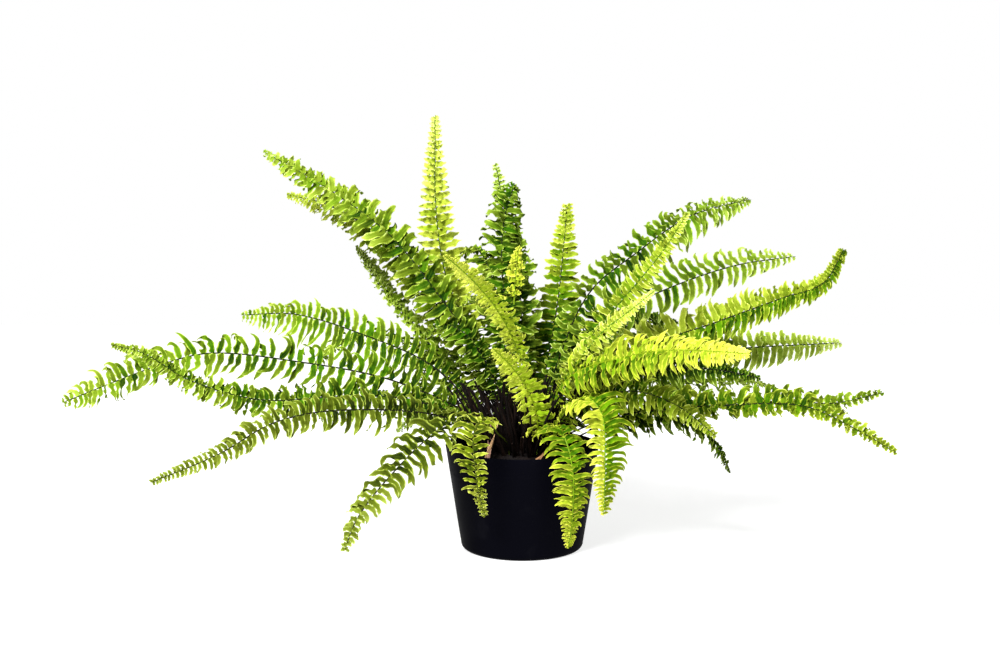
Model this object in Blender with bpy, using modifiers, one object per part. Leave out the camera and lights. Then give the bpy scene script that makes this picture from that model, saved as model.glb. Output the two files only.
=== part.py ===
# A potted boston fern: a nursery pot, its soil, the crown of old stalk bases, dry leaf scraps, and one
# solid for each frond. Metres, +Z up. The origin is the middle of the pot's foot, and the front is -Y.

import math
import random
from bisect import bisect
from dataclasses import dataclass

import bmesh
import bpy
from mathutils import Matrix, Vector, noise
from mathutils.bvhtree import BVHTree
from mathutils.geometry import interpolate_bezier

MM = 0.001

# Pot, in millimetres
POT_HEIGHT = 123
RIM_RADIUS = 90
FOOT_RADIUS = 71
WALL = 1.6
FOOT_ROUND = 5
FLOOR_THICKNESS = 2.4
POT_STEPS = 44
DRAIN_HOLES = 5
DRAIN_RADIUS = 5
DRAIN_CIRCLE = 48

# Soil and crown, in millimetres
GAP = 0.3
SOIL_TOP = 107
SOIL_STEPS = 32
SOIL_ROUGHNESS = 1.5
FLAT_SOIL_RADIUS = 64
CROWN_RADIUS = 46
CROWN_RISE = 19
CROWN_STEPS = 20
CROWN_ROUGHNESS = 1.6
HOLE_RADIUS = 2.1
HOLE_SIDES = 6
HOLE_FLOOR = SOIL_TOP + 2.5

# Frond sections, in millimetres
STALK = 2.2
RIB_TIP = 1.3
BLADE = 0.8
CLEARANCE = 1.0
STALK_STEP = 26
LEAFLET_PITCH = 14.5
SCRAP_STEPS = 4
SCRAP_BOW = 2.5

# How leaflets stand on a midrib: degrees of forward sweep at the blade's start, what the tip adds, and
# how far the droop of one leaflet differs from the next. Leaflets crowd towards a frond's tip.
LEAFLET_SWEEP = 10
TIP_SWEEP = 20
DROOP_SPREAD = 9
TIP_CROWDING = 1.2
LEAFLET_POINT = 0.75
ROUTE_STEPS = 12
TANGENT_STEP = 3

# How a leaflet may lie, from the best to the last that is tried: the share of its length, and the
# degrees that it droops and sweeps forward beyond its frond's own
LEAFLET_CHOICES = (
    (1.0, 0, 0), (1.0, 14, 0), (1.0, -14, 0), (1.0, 28, 5), (1.0, -26, 10), (0.9, 42, 0), (0.85, 0, 22),
    (0.8, -40, 0), (0.75, 58, 10), (0.7, 15, -15), (0.6, 0, 0), (0.55, 30, 12), (0.5, -25, 12),
    (0.42, 0, 0), (0.36, 40, 20), (0.3, -15, 25), (0.24, 10, 35),
)

TONES = {
    "young": (0.62, 0.66, 0.03),
    "light": (0.30, 0.46, 0.04),
    "green": (0.13, 0.28, 0.03),
    "dark": (0.05, 0.15, 0.02),
    "olive": (0.14, 0.19, 0.03),
}


@dataclass
class Frond:
    """One frond. Its route is (reach, height) pairs in millimetres from the pot's axis and its foot, in
    the upright plane of its heading, which is counted in degrees from +X towards +Y. halves are the shares
    of the full length that its left and right leaflets have, and a high taper keeps them long to the tip."""

    heading: float
    root: float
    route: tuple
    leaf: float = 38
    halves: tuple = (1, 1)
    bare: float = 0.28
    sweep: float = 0
    roll: float = 0
    twist: float = 0
    droop: float = 22
    taper: float = 2.6
    tone: str = "green"


FRONDS = {
    "frond_hanging_front": Frond(
        heading=295, root=38, route=((66, 150), (99, 157), (127, 122), (130, 75), (120, 26)),
        leaf=27, bare=0.2, roll=5, droop=20, taper=2.6, tone="light"),
    "frond_hanging_right": Frond(
        heading=308, root=37, route=((70, 165), (112, 194), (141, 178), (147, 140), (147, 66)),
        leaf=32, halves=(1.3, 0.75), bare=0.22, sweep=-2, roll=10, droop=22, taper=3.4, tone="light"),
    "frond_hanging_left": Frond(
        heading=247, root=38, route=((75, 150), (112, 172), (140, 160), (138, 130), (128, 95), (108, 60)),
        leaf=25, bare=0.2, roll=0, droop=15, taper=2.4, tone="light"),
    "frond_front_yellow_low": Frond(
        heading=290, root=28, route=((58, 150), (70, 195), (76, 230), (78, 250)),
        leaf=24, halves=(0.8, 0.75), bare=0.2, sweep=-65, roll=-20, droop=30, taper=3, tone="young"),
    "frond_front_yellow_high": Frond(
        heading=280, root=14, route=((28, 180), (48, 240), (68, 290), (85, 335), (92, 355)),
        leaf=26, halves=(0.8, 0.5), bare=0.42, sweep=-105, roll=-15, droop=34, taper=3, tone="young"),
    "frond_right_yellow_front": Frond(
        heading=318, root=22, route=((40, 170), (74, 212), (139, 238), (215, 255), (315, 261)),
        leaf=30, bare=0.2, roll=50, droop=22, taper=4, tone="young"),
    "frond_erect_left": Frond(
        heading=142, root=11, route=((40, 180), (78, 250), (114, 310), (130, 390), (131, 504)),
        leaf=42, bare=0.36, roll=-62, droop=4, taper=1.2, tone="light"),
    "frond_upper_left_long": Frond(
        heading=160, root=17, route=((36, 200), (85, 270), (165, 362), (245, 416), (332, 461)),
        leaf=38, bare=0.2, roll=-50, droop=14, taper=4, tone="green"),
    "frond_left_longest": Frond(
        heading=176, root=24, route=((50, 150), (98, 176), (168, 201), (259, 217), (366, 227),
                                     (433, 211), (550, 165)),
        leaf=36, bare=0.14, roll=-60, droop=6, taper=14, halves=(0.9, 1), tone="green"),
    "frond_left_upper": Frond(
        heading=158, root=31, route=((65, 165), (117, 210), (200, 240), (296, 262), (376, 258)),
        leaf=42, bare=0.16, roll=-50, droop=16, taper=4, halves=(1.2, 0.75), tone="green"),
    "frond_right_curled_tip": Frond(
        heading=4, root=16, route=((60, 185), (150, 238), (228, 265), (306, 293), (354, 310), (378, 350)),
        leaf=38, bare=0.2, roll=55, droop=8, taper=1.5, halves=(0.75, 1.1), tone="light"),
    "frond_right_high": Frond(
        heading=18, root=23, route=((50, 195), (110, 267), (177, 298), (270, 325), (352, 334)),
        leaf=30, bare=0.22, roll=52, droop=8, taper=3, halves=(0.95, 1.05), tone="dark"),
    "frond_upper_right_dark": Frond(
        heading=36, root=13, route=((45, 200), (97, 292), (175, 340), (260, 380), (362, 398)),
        leaf=34, bare=0.2, roll=48, droop=10, taper=5, halves=(0.8, 1.3), tone="dark"),
    "frond_upper_right_light": Frond(
        heading=350, root=7, route=((40, 185), (90, 262), (132, 314), (162, 352), (190, 396)),
        leaf=26, bare=0.32, roll=55, droop=8, taper=2, tone="light"),
    "frond_erect_right": Frond(
        heading=70, root=12, route=((50, 155), (98, 215), (134, 280), (156, 345), (170, 395)),
        leaf=54, bare=0.24, droop=6, taper=1.2, tone="light"),
    "frond_top_leaning": Frond(
        heading=92, root=22, route=((45, 190), (90, 285), (140, 355), (160, 405), (170, 445)),
        leaf=24, bare=0.3, sweep=26, droop=20, taper=3, tone="dark"),
    "frond_top_middle": Frond(
        heading=126, root=7, route=((22, 200), (45, 270), (90, 345), (115, 385), (130, 420)),
        leaf=34, bare=0.3, sweep=-85, droop=12, taper=16, halves=(0.8, 1), tone="dark"),
    "frond_top_curled": Frond(
        heading=120, root=14, route=((32, 200), (58, 290), (85, 330), (112, 345), (142, 338)),
        leaf=32, bare=0.3, droop=24, taper=4, tone="green"),
    "frond_top_broad": Frond(
        heading=88, root=31, route=((50, 200), (90, 290), (125, 345), (135, 370)),
        leaf=28, bare=0.28, sweep=14, droop=14, taper=5, tone="dark"),
    "frond_top_young": Frond(
        heading=108, root=23, route=((36, 200), (50, 280), (62, 325), (66, 350)),
        leaf=13, bare=0.76, sweep=-18, droop=14, taper=3, tone="young"),
    "frond_upper_left_under": Frond(
        heading=147, root=22, route=((62, 200), (117, 274), (202, 355), (283, 393), (352, 405)),
        leaf=30, bare=0.2, roll=-45, droop=16, taper=3, tone="light"),
    "frond_upper_left_edge": Frond(
        heading=140, root=31, route=((80, 165), (145, 227), (210, 282), (270, 340)),
        leaf=26, bare=0.2, roll=-2, droop=16, taper=10, halves=(0.4, 1), tone="green"),
    "frond_right_young": Frond(
        heading=335, root=14, route=((45, 190), (97, 258), (133, 287), (163, 312)),
        leaf=18, bare=0.36, roll=55, droop=15, taper=2.4, tone="light"),
    "frond_right_level": Frond(
        heading=14, root=33, route=((60, 170), (95, 205), (195, 222), (275, 227), (404, 229)),
        leaf=32, bare=0.18, roll=50, droop=12, taper=4, halves=(0.8, 1.1), tone="green"),
    "frond_right_dark_under": Frond(
        heading=4, root=30, route=((60, 160), (93, 193), (165, 209), (225, 209), (282, 198)),
        leaf=36, bare=0.18, roll=42, droop=26, taper=3, tone="dark"),
    "frond_lower_right_far": Frond(
        heading=352, root=38, route=((62, 140), (115, 158), (218, 172), (305, 182), (356, 180), (414, 194)),
        leaf=30, bare=0.16, roll=50, droop=12, taper=3, halves=(0.9, 0.6), tone="green"),
    "frond_lower_right_near": Frond(
        heading=342, root=32, route=((70, 150), (141, 169), (246, 183), (328, 186), (388, 162), (430, 139)),
        leaf=32, bare=0.16, roll=48, droop=14, taper=2.6, halves=(0.9, 0.55), tone="light"),
    "frond_lower_right_arched": Frond(
        heading=359, root=43, route=((62, 130), (91, 143), (149, 158), (193, 151), (226, 126), (244, 90)),
        leaf=30, bare=0.2, roll=20, droop=26, taper=3, tone="dark"),
    "frond_lower_right_light": Frond(
        heading=330, root=32, route=((50, 160), (100, 187), (148, 198), (200, 185), (245, 156)),
        leaf=32, bare=0.18, roll=40, droop=14, taper=2.4, tone="light"),
    "frond_left_twisted": Frond(
        heading=186, root=32, route=((55, 148), (95, 167), (145, 181), (213, 183), (303, 181),
                                     (383, 205), (434, 237), (470, 247)),
        leaf=30, bare=0.14, roll=-45, twist=-15, droop=20, taper=2.2, tone="olive"),
    "frond_lower_left_long": Frond(
        heading=199, root=38, route=((70, 150), (125, 168), (227, 176), (295, 166), (356, 135), (432, 108)),
        leaf=32, bare=0.16, roll=-54, droop=6, taper=2.8, tone="olive"),
    "frond_lower_left_front": Frond(
        heading=222, root=36, route=((55, 150), (88, 162), (136, 152), (193, 117), (242, 75), (261, 40)),
        leaf=42, bare=0.18, roll=-12, droop=6, taper=2.4, tone="olive"),
    "frond_inner_left": Frond(
        heading=168, root=5, route=((30, 190), (62, 245), (92, 262), (116, 250)),
        leaf=36, bare=0.28, roll=-30, droop=20, taper=3, tone="dark"),
    "frond_inner_right": Frond(
        heading=28, root=32, route=((62, 190), (112, 240), (170, 262), (216, 255)),
        leaf=36, bare=0.24, roll=35, droop=20, taper=3, tone="dark"),
    "frond_low_right": Frond(
        heading=40, root=19, route=((45, 140), (85, 158), (130, 150), (170, 122)),
        leaf=34, bare=0.22, roll=35, droop=16, tone="dark"),
    "frond_low_back": Frond(
        heading=66, root=22, route=((48, 138), (84, 152), (124, 142), (158, 112)),
        leaf=34, bare=0.22, roll=10, droop=16, tone="dark"),
    "frond_low_left": Frond(
        heading=150, root=35, route=((52, 140), (92, 160), (136, 152), (176, 122)),
        leaf=32, bare=0.24, roll=-35, droop=16, tone="dark"),
    "frond_back_1": Frond(
        heading=132, root=40, route=((80, 150), (160, 205), (265, 228), (350, 205), (395, 160)),
        bare=0.2, sweep=20, tone="green"),
    "frond_back_2": Frond(
        heading=118, root=34, route=((75, 155), (150, 195), (230, 200), (300, 160), (335, 105)),
        bare=0.2, sweep=-25, tone="dark"),
    "frond_back_3": Frond(
        heading=103, root=31, route=((70, 170), (140, 235), (235, 268), (310, 255), (365, 215)),
        bare=0.2, sweep=15, tone="green"),
    "frond_back_4": Frond(
        heading=90, root=38, route=((70, 145), (140, 175), (220, 175), (285, 135), (310, 80)),
        bare=0.2, sweep=-15, tone="olive"),
    "frond_back_5": Frond(
        heading=76, root=41, route=((80, 160), (160, 215), (250, 235), (325, 210), (370, 160)),
        bare=0.2, sweep=25, tone="green"),
    "frond_back_6": Frond(
        heading=60, root=31, route=((75, 165), (155, 225), (250, 250), (330, 235), (390, 190)),
        bare=0.2, sweep=-20, tone="light"),
    "frond_back_7": Frond(
        heading=46, root=38, route=((75, 145), (150, 180), (235, 185), (305, 150), (345, 95)),
        bare=0.2, sweep=20, tone="dark"),
    "frond_back_8": Frond(
        heading=30, root=42, route=((80, 140), (160, 165), (250, 178), (330, 172), (380, 155)),
        bare=0.2, sweep=-15, tone="green"),
}

# Dry leaf scraps: where the foot stands and where the tip leans, in millimetres, and the width
SCRAPS = {
    "dry_leaf_tan": ((-46, -42), (-28, -37, 156), 6),
    "dry_leaf_brown": ((12, -58), (27, -52, 126), 9),
    "dry_leaf_pink": ((-40, -32), (-37, -27, 160), 5),
}


def clear_scene():
    for obj in list(bpy.data.objects):
        bpy.data.objects.remove(obj, do_unlink=True)


def make_collection(name):
    collection = bpy.data.collections.new(name)
    bpy.context.scene.collection.children.link(collection)
    return collection


def make_material(name, colour, roughness, metallic=0.0):
    material = bpy.data.materials.new(name)
    material.use_nodes = True
    shader = material.node_tree.nodes["Principled BSDF"]
    shader.inputs["Base Color"].default_value = (*colour, 1.0)
    shader.inputs["Roughness"].default_value = roughness
    shader.inputs["Metallic"].default_value = metallic
    return material


def add_object(name, bm, collection, material=None):
    mesh = bpy.data.meshes.new(name)
    bm.to_mesh(mesh)
    bm.free()
    obj = bpy.data.objects.new(name, mesh)
    collection.objects.link(obj)
    if material:
        mesh.materials.append(material)
    return obj


def hide_cutter(cutter):
    cutter.hide_render = True
    cutter.display_type = "WIRE"


def cut(obj, cutter):
    modifier = obj.modifiers.new("Cut", "BOOLEAN")
    modifier.operation = "DIFFERENCE"
    modifier.object = cutter


def turn(profile, steps):
    """Spins a (radius, height) profile in millimetres, which starts and ends on the axis."""
    bm = bmesh.new()
    verts = [bm.verts.new((radius * MM, 0, height * MM)) for radius, height in profile]
    edges = [bm.edges.new(pair) for pair in zip(verts, verts[1:])]
    bmesh.ops.spin(bm, geom=verts + edges, cent=(0, 0, 0), axis=(0, 0, 1), angle=math.tau, steps=steps,
                   use_merge=True)
    bmesh.ops.remove_doubles(bm, verts=bm.verts, dist=0.01 * MM)
    bmesh.ops.recalc_face_normals(bm, faces=bm.faces)
    return bm


def pot_radius(height):
    """The pot's outer radius at a height, both in millimetres."""
    return FOOT_RADIUS + (RIM_RADIUS - FOOT_RADIUS) * height / POT_HEIGHT


def make_pot(collection, cutters, material):
    inside = FLOOR_THICKNESS
    foot = [(FOOT_RADIUS - FOOT_ROUND * (1 - math.sin(a)), FOOT_ROUND * (1 - math.cos(a)))
            for a in (math.radians(turned) for turned in (78, 52, 26, 0))]
    profile = [
        (0, inside),
        (pot_radius(inside) - WALL - 3, inside),
        (pot_radius(inside + 3) - WALL, inside + 3),
        (pot_radius(POT_HEIGHT) - WALL, POT_HEIGHT),
        (RIM_RADIUS, POT_HEIGHT),
        *foot,
        (0, 0),
    ]
    pot = add_object("pot", turn(profile, POT_STEPS), collection, material)
    pot.data.shade_smooth()
    pot.data.set_sharp_from_angle(angle=math.radians(40))
    bm = bmesh.new()
    for hole in range(DRAIN_HOLES):
        angle = math.tau * hole / DRAIN_HOLES
        place = Matrix.Rotation(angle, 4, "Z") @ Matrix.Translation((DRAIN_CIRCLE * MM, 0, 0))
        bmesh.ops.create_cone(bm, cap_ends=True, segments=10, radius1=DRAIN_RADIUS * MM,
                              radius2=DRAIN_RADIUS * MM, depth=4 * FLOOR_THICKNESS * MM, matrix=place)
    cutter = add_object("drain_holes", bm, cutters)
    hide_cutter(cutter)
    cut(pot, cutter)
    return pot


def make_soil(collection, material):
    low = FLOOR_THICKNESS + GAP
    profile = [
        (0, SOIL_TOP),
        (FLAT_SOIL_RADIUS, SOIL_TOP),
        (FLAT_SOIL_RADIUS + 7, SOIL_TOP + 0.5),
        (FLAT_SOIL_RADIUS + 15, SOIL_TOP),
        (pot_radius(SOIL_TOP) - WALL - GAP - 0.2, SOIL_TOP - 1.5),
        (pot_radius(low + 4) - WALL - GAP - 0.4, low + 4),
        (pot_radius(low) - WALL - 5, low),
        (0, low),
    ]
    bm = turn(profile, SOIL_STEPS)
    for vert in bm.verts:
        radius = vert.co.to_2d().length
        if vert.co.z > (SOIL_TOP - 0.1) * MM and radius > (FLAT_SOIL_RADIUS + 1) * MM:
            vert.co.z += SOIL_ROUGHNESS * MM * noise.noise(vert.co * 90)
    return add_object("soil", bm, collection, material)


def crown_top(radius):
    """The crown's height over the pot's foot at a distance from the axis, in millimetres."""
    return SOIL_TOP + GAP + CROWN_RISE * math.sqrt(max(0, 1 - (radius / CROWN_RADIUS) ** 2))


def make_crown(collection, cutters, material):
    bm = bmesh.new()
    bmesh.ops.create_uvsphere(bm, u_segments=CROWN_STEPS, v_segments=10, radius=1)
    bmesh.ops.scale(bm, vec=(CROWN_RADIUS * MM, CROWN_RADIUS * MM, CROWN_RISE * MM), verts=bm.verts)
    cut_faces = bmesh.ops.bisect_plane(bm, geom=bm.verts[:] + bm.edges[:] + bm.faces[:], dist=0.001 * MM,
                                       plane_co=(0, 0, 0), plane_no=(0, 0, -1), clear_outer=True)
    rim = [part for part in cut_faces["geom_cut"] if isinstance(part, bmesh.types.BMEdge)]
    bmesh.ops.holes_fill(bm, edges=rim)
    for vert in bm.verts:
        if vert.co.z > 2 * MM:
            vert.co *= 1 + CROWN_ROUGHNESS * MM * noise.noise(vert.co * 120) / vert.co.length
    bmesh.ops.translate(bm, vec=(0, 0, (SOIL_TOP + GAP) * MM), verts=bm.verts)
    crown = add_object("crown", bm, collection, material)
    bm = bmesh.new()
    for frond in FRONDS.values():
        place = Matrix.Translation(root_point(frond, HOLE_FLOOR + 20))
        bmesh.ops.create_cone(bm, cap_ends=True, segments=HOLE_SIDES, radius1=HOLE_RADIUS * MM,
                              radius2=HOLE_RADIUS * MM, depth=40 * MM, matrix=place)
    cutter = add_object("stalk_holes", bm, cutters)
    hide_cutter(cutter)
    cut(crown, cutter)
    return crown


def plane_axes(frond):
    angle = math.radians(frond.heading)
    ahead = Vector((math.cos(angle), math.sin(angle), 0))
    aside = Vector((-math.sin(angle), math.cos(angle), 0))
    return ahead, aside


def root_point(frond, height):
    ahead, aside = plane_axes(frond)
    return ahead * frond.root * MM + Vector((0, 0, height * MM))


def smooth_route(points, first_tangent):
    """Points along Bezier pieces through the given points, each tangent along its neighbours' chord."""
    tangents = [first_tangent]
    tangents += [(after - before).normalized() for before, after in zip(points, points[2:])]
    tangents.append((points[-1] - points[-2]).normalized())
    curve = []
    for i, (start, end) in enumerate(zip(points, points[1:])):
        handle = (end - start).length / 3
        curve += interpolate_bezier(start, start + tangents[i] * handle, end - tangents[i + 1] * handle,
                                    end, ROUTE_STEPS)[:-1]
    return [*curve, points[-1]]


class Route:
    """A frond's midrib as a smooth line, which is read by the distance along it."""

    def __init__(self, frond):
        ahead, aside = plane_axes(frond)
        upright = Vector((0, 0, 1))
        flat = [(frond.root, crown_top(frond.root) + 2), *frond.route]
        points = [(ahead * reach + upright * height) * MM for reach, height in flat]
        curve = [root_point(frond, HOLE_FLOOR + GAP), *smooth_route(points, upright)]
        distances = measure(curve)
        for point, distance in zip(curve, distances):
            point += aside * frond.sweep * MM * (distance / distances[-1]) ** 3
        self.aside = aside
        self.curve = curve
        self.distances = measure(curve)
        self.length = self.distances[-1]

    def point(self, distance):
        last = len(self.curve) - 2
        i = min(last, max(0, bisect(self.distances, distance) - 1))
        span = self.distances[i + 1] - self.distances[i]
        return self.curve[i].lerp(self.curve[i + 1], (distance - self.distances[i]) / span)

    def tangent(self, distance):
        before = self.point(max(0, distance - TANGENT_STEP * MM))
        after = self.point(min(self.length, distance + TANGENT_STEP * MM))
        return (after - before).normalized()


def measure(points):
    distances = [0]
    for start, end in zip(points, points[1:]):
        distances.append(distances[-1] + (end - start).length)
    return distances


@dataclass
class Station:
    """A cross-section of a frond's midrib. up is the blade's upper side and left its left side."""

    centre: Vector
    ahead: Vector
    left: Vector
    up: Vector
    share: float
    width: float

    def edge(self, side):
        return self.centre + self.left * side * self.width / 2


def make_station(frond, route, distance):
    share = distance / route.length
    ahead = route.tangent(distance)
    along_blade = max(0, (share - frond.bare) / (1 - frond.bare))
    turned = min(1, share / frond.bare) * frond.roll + along_blade * frond.twist
    left = (route.aside - ahead * route.aside.dot(ahead)).normalized()
    left = Matrix.Rotation(math.radians(turned), 3, ahead) @ left
    width = (STALK + (RIB_TIP - STALK) * share) * MM
    return Station(route.point(distance), ahead, left, ahead.cross(left), along_blade, width)


def frond_stations(frond):
    """The stations of the bare stalk, then one at each end of every leaflet's base."""
    route = Route(frond)
    exit_at = route.distances[1]
    blade_at = frond.bare * route.length
    stalk_steps = max(2, round((blade_at - exit_at) / (STALK_STEP * MM)))
    distances = [0] + [exit_at + (blade_at - exit_at) * i / stalk_steps for i in range(stalk_steps)]
    first_leaflet = len(distances)
    pairs = round((route.length - blade_at) / (LEAFLET_PITCH * MM))
    for pair in range(pairs + 1):
        share = pair / pairs
        crowded = share * (TIP_CROWDING - (TIP_CROWDING - 1) * share)
        distances.append(blade_at + (route.length - blade_at) * crowded)
    return [make_station(frond, route, distance) for distance in distances], first_leaflet


def leaf_share(along_blade, taper):
    """A leaflet's length as a share of the frond's longest, from the blade's start (0) to its tip (1)."""
    return min(1, 0.6 + 1.6 * along_blade) * (1 - 0.88 * along_blade ** taper)


def leaflet_points(before, after, side, length, droop, sweep):
    """The outline of one leaflet from the rear end of its base round to its tip."""
    start = before.edge(side)
    end = after.edge(side)
    out = before.left * side * math.cos(sweep) + before.ahead * math.sin(sweep)
    tip = start.lerp(end, LEAFLET_POINT) + (out * math.cos(droop) - before.up * math.sin(droop)) * length
    return [start, end, tip]


class Obstacle:
    """Thin slabs round a set of flat polygons, with the sphere that holds them for a quick first test.
    Each corner has its own half thickness."""

    def __init__(self, polygons, halves, grow=0):
        points = []
        faces = []
        for polygon in polygons:
            middle = sum(polygon, Vector()) / len(polygon)
            normal = (polygon[1] - polygon[0]).cross(polygon[2] - polygon[0]).normalized()
            grown = [point + (point - middle).normalized() * grow for point in polygon]
            first = len(points)
            count = len(polygon)
            points += [point + normal * (half + grow) for point, half in zip(grown, halves)]
            points += [point - normal * (half + grow) for point, half in zip(grown, halves)]
            top = [first + i for i in range(count)]
            faces.append(top)
            faces.append([i + count for i in reversed(top)])
            for i in range(count):
                after = (i + 1) % count
                faces.append([top[i], top[i] + count, top[after] + count, top[after]])
        self.hold(points, faces)

    def hold(self, points, faces):
        """Keeps the shape in millimetres, because overlap tests of thin shapes fail on tiny numbers."""
        large = [point / MM for point in points]
        self.tree = BVHTree.FromPolygons(large, faces)
        self.centre = sum(large, Vector()) / len(large)
        self.radius = max((point - self.centre).length for point in large)

    def meets(self, other):
        if (self.centre - other.centre).length > self.radius + other.radius:
            return False
        return bool(self.tree.overlap(other.tree))


class Standing(Obstacle):
    """A finished object that leaflets stay clear of."""

    def __init__(self, obj):
        mesh = obj.evaluated_get(bpy.context.evaluated_depsgraph_get()).to_mesh()
        self.hold([vert.co.copy() for vert in mesh.vertices], [list(face.vertices) for face in mesh.polygons])


def stalk_obstacle(stations):
    polygons = [
        (a.edge(1), a.edge(-1), b.edge(-1), b.edge(1))
        for a, b in zip(stations, stations[1:])
    ]
    return Obstacle(polygons, [STALK * MM / 2] * 4)


def choose_leaflets(name, frond, stations, first_leaflet, others):
    """Every leaflet's outline, bent clear of the other pieces or left out where nothing is clear."""
    draw = random.Random(name)
    chosen = {}
    own = []
    for i in range(first_leaflet, len(stations) - 1):
        before, after = stations[i], stations[i + 1]
        full = frond.leaf * leaf_share(before.share, frond.taper) * MM
        halves = [before.width / 2, after.width / 2, BLADE * MM / 2]
        for side in (1, -1):
            droop = frond.droop + draw.uniform(-DROOP_SPREAD, DROOP_SPREAD)
            sweep = LEAFLET_SWEEP + TIP_SWEEP * before.share + draw.uniform(-4, 4)
            rivals = others + [leaflet for at, edge, leaflet in own if at < i - 1]
            for share, more_droop, more_sweep in LEAFLET_CHOICES:
                outline = leaflet_points(before, after, side, full * frond.halves[side < 0] * share,
                                         math.radians(droop + more_droop), math.radians(sweep + more_sweep))
                slab = Obstacle([outline], halves, CLEARANCE * MM)
                if not any(slab.meets(rival) for rival in rivals):
                    chosen[i, side] = outline
                    own.append((i, side, Obstacle([outline], halves)))
                    break
    return chosen, [leaflet for at, edge, leaflet in own]


def make_frond(name, stations, leaflets, collection, material):
    """A midrib strip with its leaflets, given its thickness by Solidify."""
    bm = bmesh.new()
    weights = []

    def add_vert(point, thickness):
        weights.append(thickness / STALK)
        return bm.verts.new(point)

    rows = []
    for station in stations[:-1]:
        thickness = station.width / MM
        rows.append({side: add_vert(station.edge(side), thickness) for side in (1, -1)})
    end = add_vert(stations[-1].centre, BLADE)
    rows.append({1: end, -1: end})
    for i, (row, following) in enumerate(zip(rows, rows[1:])):
        corners = [row[-1], following[-1], following[1], row[1]]
        bm.faces.new(dict.fromkeys(corners))
        for side in (1, -1):
            if (i, side) not in leaflets:
                continue
            tip = add_vert(leaflets[i, side][2], BLADE)
            bm.faces.new([row[side], following[side], tip][::side])
    bmesh.ops.triangulate(bm, faces=bm.faces)
    obj = add_object(name, bm, collection, material)
    group = obj.vertex_groups.new(name="thickness")
    for index, weight in enumerate(weights):
        group.add([index], weight, "REPLACE")
    solid = obj.modifiers.new("Thickness", "SOLIDIFY")
    solid.thickness = STALK * MM
    solid.offset = 0
    solid.vertex_group = group.name
    return obj


def make_scrap(name, foot, tip, width, collection, material):
    """A dry leaf scrap, which stands on the soil and leans inwards in a shallow curve."""
    start = Vector((*foot, SOIL_TOP + GAP + 0.6)) * MM
    end = Vector(tip) * MM
    across = (end - start).cross(Vector((0, 0, 1))).normalized()
    outward = (end - start).cross(across).normalized()
    bm = bmesh.new()
    rows = []
    for step in range(SCRAP_STEPS + 1):
        share = step / SCRAP_STEPS
        bow = outward * SCRAP_BOW * MM * math.sin(math.pi * share)
        half = across * width * MM / 2 * max(0.12, math.sin(math.pi * (0.2 + 0.78 * share)))
        middle = start.lerp(end, share) + bow
        rows.append([bm.verts.new(middle - half), bm.verts.new(middle + half)])
    for row, following in zip(rows, rows[1:]):
        bm.faces.new((*row, *following[::-1]))
    bmesh.ops.triangulate(bm, faces=bm.faces)
    obj = add_object(name, bm, collection, material)
    solid = obj.modifiers.new("Thickness", "SOLIDIFY")
    solid.thickness = BLADE * MM
    solid.offset = 0
    return obj


def main():
    clear_scene()
    collection = make_collection("potted_boston_fern")
    cutters = make_collection("cutters")
    pot = make_pot(collection, cutters, make_material("pot plastic", (0.012, 0.012, 0.016), 0.42))
    soil = make_soil(collection, make_material("soil", (0.035, 0.024, 0.016), 0.95))
    crown = make_crown(collection, cutters, make_material("stalk bases", (0.045, 0.026, 0.014), 0.85))
    dry = make_material("dry leaf", (0.36, 0.20, 0.09), 0.75)
    scraps = [make_scrap(name, *values, collection, dry) for name, values in SCRAPS.items()]
    tones = {tone: make_material("leaf " + tone, colour, 0.5) for tone, colour in TONES.items()}
    laid_out = {name: frond_stations(frond) for name, frond in FRONDS.items()}
    stalks = {name: stalk_obstacle(stations) for name, (stations, first) in laid_out.items()}
    placed = [Standing(obj) for obj in (pot, soil, crown, *scraps)]
    for name, (stations, first_leaflet) in laid_out.items():
        others = placed + [stalk for other, stalk in stalks.items() if other != name]
        leaflets, slabs = choose_leaflets(name, FRONDS[name], stations, first_leaflet, others)
        placed += slabs
        make_frond(name, stations, leaflets, collection, tones[FRONDS[name].tone])


if __name__ == "__main__":
    main()
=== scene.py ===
import math
import random
from bisect import bisect

import bmesh
import bpy
from mathutils import Matrix, Vector, noise
from mathutils.geometry import interpolate_bezier


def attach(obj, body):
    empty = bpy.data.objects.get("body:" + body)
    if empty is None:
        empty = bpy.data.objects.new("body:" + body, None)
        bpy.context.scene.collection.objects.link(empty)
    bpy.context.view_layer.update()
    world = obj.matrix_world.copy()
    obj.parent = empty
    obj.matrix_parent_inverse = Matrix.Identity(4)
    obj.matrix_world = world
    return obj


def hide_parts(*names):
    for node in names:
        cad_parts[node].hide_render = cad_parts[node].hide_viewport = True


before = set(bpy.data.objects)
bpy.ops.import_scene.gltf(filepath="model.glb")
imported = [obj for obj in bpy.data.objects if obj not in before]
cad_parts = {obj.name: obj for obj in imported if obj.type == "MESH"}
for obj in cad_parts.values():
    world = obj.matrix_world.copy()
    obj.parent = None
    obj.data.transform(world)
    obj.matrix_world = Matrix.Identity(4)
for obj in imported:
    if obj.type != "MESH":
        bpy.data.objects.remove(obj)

scene = bpy.context.scene
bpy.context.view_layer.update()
mm = 0.001
mergeWithin = 0.005 * mm
upright = Vector((0, 0, 1))
print("frame loaded:", len(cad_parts), "nodes")


# Shared helpers

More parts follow.
